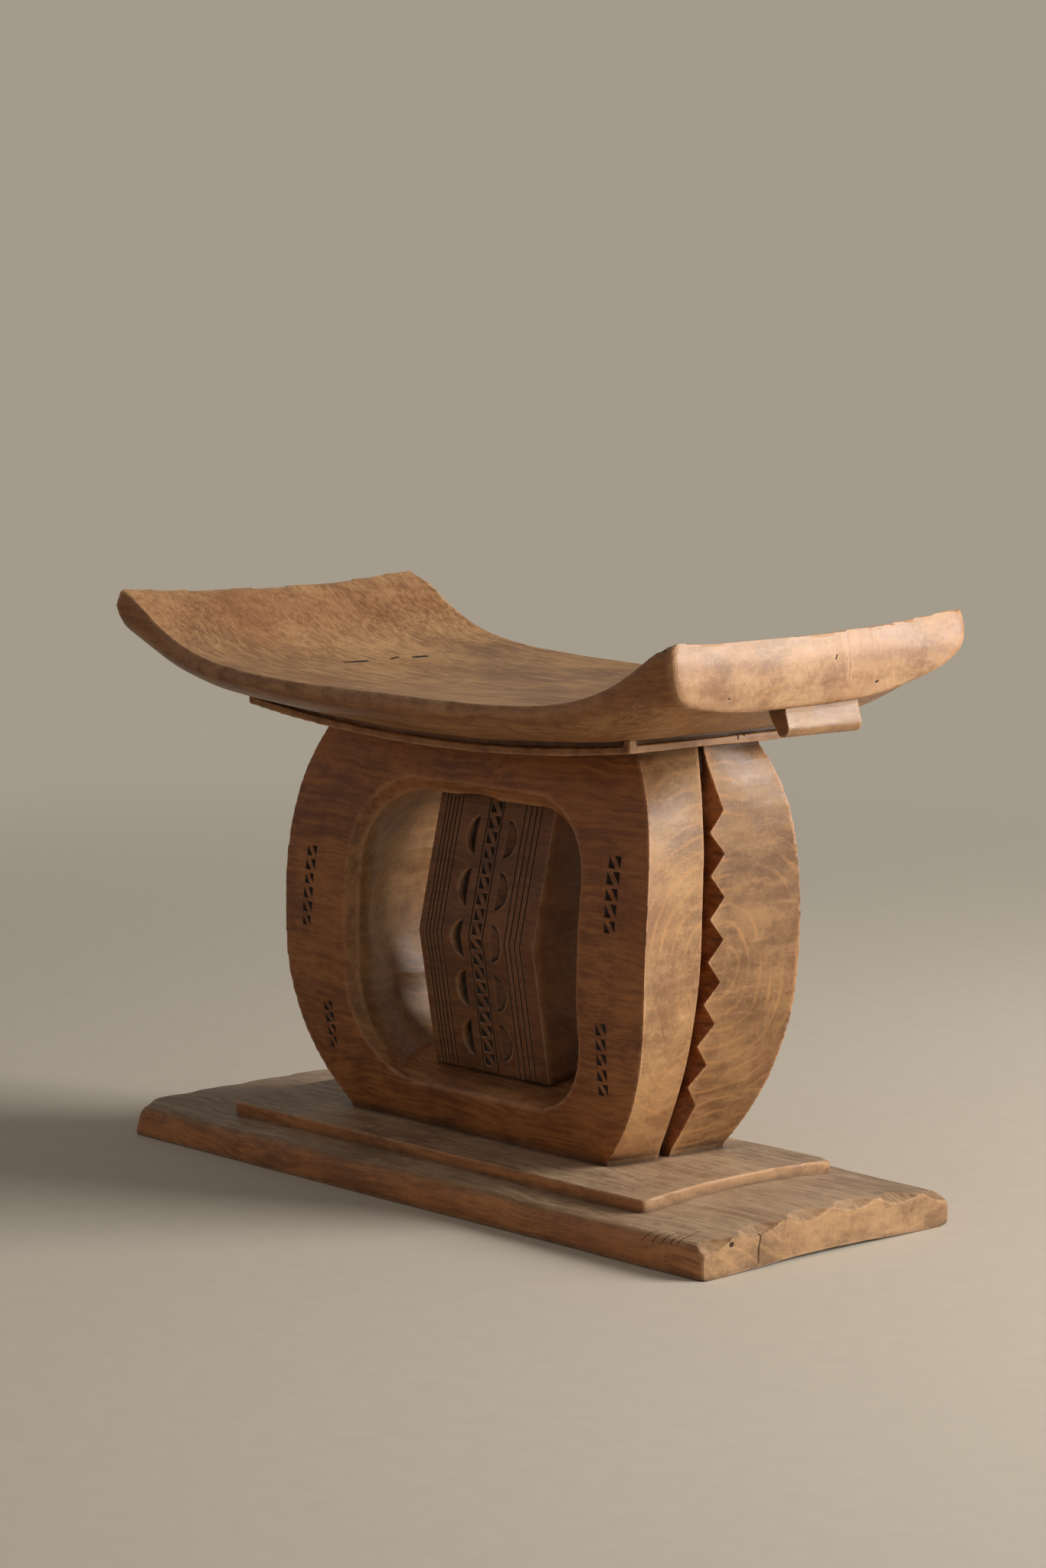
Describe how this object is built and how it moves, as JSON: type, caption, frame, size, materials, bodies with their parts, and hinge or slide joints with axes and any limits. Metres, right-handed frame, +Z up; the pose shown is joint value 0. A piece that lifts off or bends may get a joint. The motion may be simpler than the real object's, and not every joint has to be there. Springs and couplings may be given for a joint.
{
  "type": "carved wooden stool",
  "caption": "Low carved hardwood stool: saddle-shaped seat, openwork barrel pedestal with a kneed carved column, and a rectangular board base.",
  "frame": {"origin": "on the floor, under the middle of the base board", "axes": "+X along the seat, +Y towards the rear, +Z up; the carved front faces -Y"},
  "size_m": [0.5356, 0.2628, 0.3804],
  "materials": {
    "seat_wood": "worn satin",
    "pedestal_wood": "worn satin",
    "carved_wood": "dark satin",
    "base_wood": "worn matte",
    "end_grain_wood": "worn satin"
  },
  "bodies": {
    "root": {"base_board": "base_wood", "plinth": "base_wood", "front_left_post": "pedestal_wood", "front_right_post": "pedestal_wood", "rear_left_post": "pedestal_wood", "rear_right_post": "pedestal_wood", "upper_bridge": "pedestal_wood", "lower_bridge": "pedestal_wood", "centre_column": "carved_wood", "seat_rail": "seat_wood", "seat": "seat_wood", "left_lug": "end_grain_wood", "right_lug": "end_grain_wood"}
  },
  "joints": []
}
